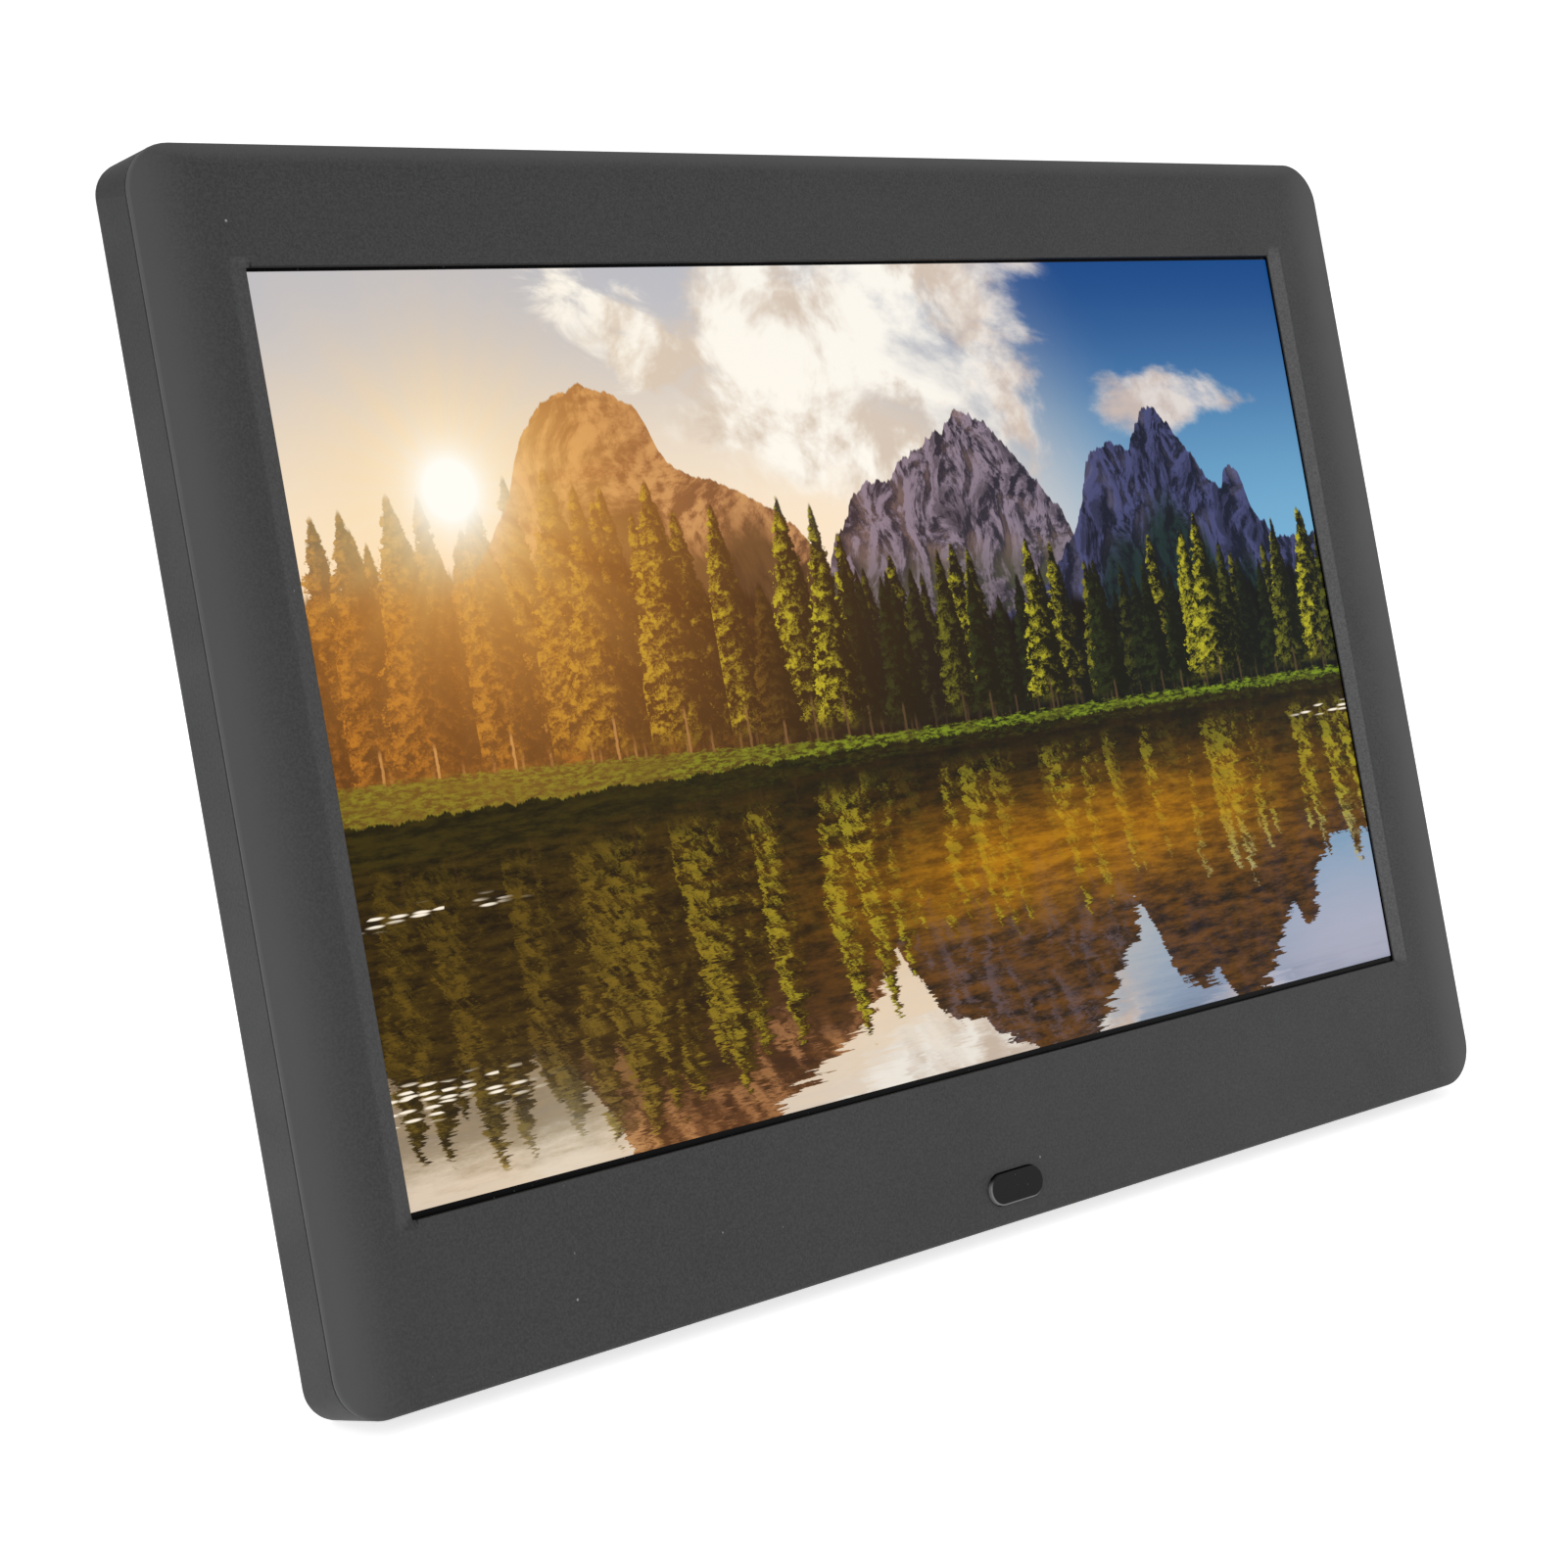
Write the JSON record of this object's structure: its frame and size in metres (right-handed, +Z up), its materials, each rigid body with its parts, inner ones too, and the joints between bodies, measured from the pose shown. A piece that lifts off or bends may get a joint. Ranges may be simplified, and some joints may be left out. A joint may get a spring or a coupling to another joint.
{
  "type": "digital photo frame",
  "caption": "Tabletop digital photo frame: matt black bezel round a landscape panel, rear hump with keys, sockets and grilles, and a fold-out leg.",
  "frame": {"origin": "middle of the footprint on the table, under the middle of the standing frame", "axes": "+Z up, +X to the viewer's right along the picture, +Y from the picture to the back"},
  "size_m": [0.25, 0.0744, 0.1769],
  "materials": {
    "case_front": "fine spark texture, satin matt",
    "case_rear": "fine spark texture, matt",
    "key": "smooth satin",
    "black_plastic": "matt moulded",
    "screw_black": "black zinc",
    "screw_zinc": "bright zinc",
    "rubber": "matt",
    "ir_window": "polished, deep red-black",
    "ir_epoxy": "moulded epoxy",
    "board_green": "solder mask",
    "cable_grey": "soft vinyl",
    "cable_white": "polyester flat cable",
    "flex_amber": "polyimide film",
    "foam": "closed-cell foam",
    "screen": "anti-glare panel face, lit from behind",
    "frame_white": "moulded polycarbonate",
    "film": "optical film",
    "acrylic": "polished acrylic",
    "led": "phosphor and white epoxy",
    "steel": "plated sheet",
    "chip": "moulded epoxy",
    "tin": "tinned",
    "can": "drawn can",
    "ferrite": "sintered",
    "brass_pin": "nickelled brass",
    "cone": "paper cone",
    "wire": "vinyl insulation"
  },
  "bodies": {
    "case": {"front_bezel": "case_front", "rear_cover": "case_rear", "case_screws": "screw_black", "rubber_feet": "rubber", "ir_lens": "ir_window", "ir_receiver": "ir_epoxy", "ir_board": "board_green", "ir_cable": "cable_grey", "lcd_gasket": "foam", "lcd_glass": "screen", "lcd_frame": "frame_white", "lcd_films": "film", "light_guide": "acrylic", "led_strip": "led", "lcd_back_plate": "steel", "lcd_driver_board": "board_green", "lcd_driver_flex": "flex_amber", "lcd_cable": "cable_white", "lcd_clips": "steel", "lcd_clip_screws": "screw_zinc", "main_board": "board_green", "board_screws": "screw_zinc", "processor": "chip", "memory_chips": "chip", "crystal": "tin", "capacitors": "can", "power_coils": "ferrite", "coin_cell": "steel", "coin_cell_holder": "black_plastic", "usb_socket": "tin", "usb_tongue": "black_plastic", "sd_socket": "tin", "headphone_jack": "black_plastic", "dc_jack": "black_plastic", "dc_pin": "brass_pin", "key_board": "board_green", "tact_switches": "tin", "key_cable": "cable_white", "speaker_frames": "black_plastic", "speaker_cones": "cone", "speaker_gaskets": "foam", "speaker_wires": "wire", "stand_pin": "steel", "stand_washers": "steel"},
    "stand": {"stand_leg": "case_rear", "stand_shoe": "rubber"},
    "key_ok_body": {"key_ok": "key", "plunger_ok": "black_plastic"},
    "key_up_body": {"key_up": "key", "plunger_up": "black_plastic"},
    "key_down_body": {"key_down": "key", "plunger_down": "black_plastic"},
    "key_left_body": {"key_left": "key", "plunger_left": "black_plastic"},
    "key_right_body": {"key_right": "key", "plunger_right": "black_plastic"},
    "key_power_body": {"key_power": "key", "plunger_power": "black_plastic"},
    "key_menu_body": {"key_menu": "key", "plunger_menu": "black_plastic"}
  },
  "joints": [
    {"name": "stand_hinge", "type": "hinge", "parent": "case", "child": "stand", "pos_m": [0, 0.0108, 0.09334], "axis": [1, 0, 0], "range_deg": [-30.1, 0]},
    {"name": "press_ok", "type": "slide", "parent": "case", "child": "key_ok_body", "axis": [0, -0.9608, 0.2773], "range_m": [0, 0.0003], "stiffness_N_per_m": 600},
    {"name": "press_up", "type": "slide", "parent": "case", "child": "key_up_body", "axis": [0, -0.9608, 0.2773], "range_m": [0, 0.0003], "stiffness_N_per_m": 600},
    {"name": "press_down", "type": "slide", "parent": "case", "child": "key_down_body", "axis": [0, -0.9608, 0.2773], "range_m": [0, 0.0003], "stiffness_N_per_m": 600},
    {"name": "press_left", "type": "slide", "parent": "case", "child": "key_left_body", "axis": [0, -0.9608, 0.2773], "range_m": [0, 0.0003], "stiffness_N_per_m": 600},
    {"name": "press_right", "type": "slide", "parent": "case", "child": "key_right_body", "axis": [0, -0.9608, 0.2773], "range_m": [0, 0.0003], "stiffness_N_per_m": 600},
    {"name": "press_power", "type": "slide", "parent": "case", "child": "key_power_body", "axis": [0, -0.9608, 0.2773], "range_m": [0, 0.0003], "stiffness_N_per_m": 600},
    {"name": "press_menu", "type": "slide", "parent": "case", "child": "key_menu_body", "axis": [0, -0.9608, 0.2773], "range_m": [0, 0.0003], "stiffness_N_per_m": 600}
  ]
}
